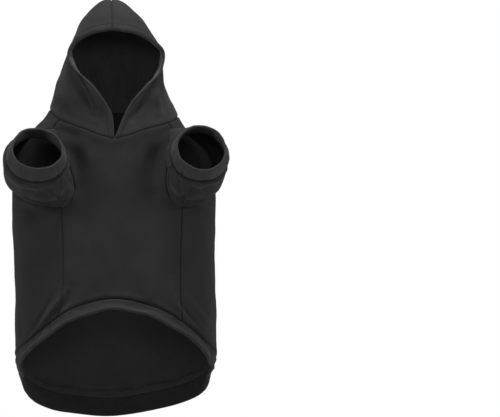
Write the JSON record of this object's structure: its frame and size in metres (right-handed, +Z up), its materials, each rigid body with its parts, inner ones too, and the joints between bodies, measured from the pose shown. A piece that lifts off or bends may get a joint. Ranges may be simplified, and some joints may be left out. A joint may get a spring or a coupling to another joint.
{
  "type": "dog hoodie",
  "caption": "Pullover hoodie for a dog in plain fleece knit, filled as if worn, with hood up, short front leg sleeves with cuffs, and a doubled band round the slanted hem",
  "frame": {"origin": "the middle of the neck opening, where the hood is sewn to the body", "axes": "+Z up along the length of the body towards the hood, -Y the belly side with the leg sleeves, +X the right side as seen from the belly side"},
  "size_m": [0.3002, 0.1987, 0.559],
  "materials": {
    "body_fleece": "matte charcoal fleece knit, smooth outside and brushed inside",
    "hood_fleece": "matte charcoal fleece knit, smooth outside and brushed inside",
    "sleeve_fleece": "matte charcoal fleece knit, smooth outside and brushed inside",
    "cuff_knit": "matte charcoal doubled knit",
    "band_knit": "matte charcoal doubled knit"
  },
  "bodies": {
    "root": {"back_panel": "body_fleece", "chest_panel": "body_fleece", "hood_left": "hood_fleece", "hood_right": "hood_fleece", "sleeve_left": "sleeve_fleece", "sleeve_right": "sleeve_fleece", "cuff_left": "cuff_knit", "cuff_right": "cuff_knit", "hem_band": "band_knit"}
  },
  "joints": []
}
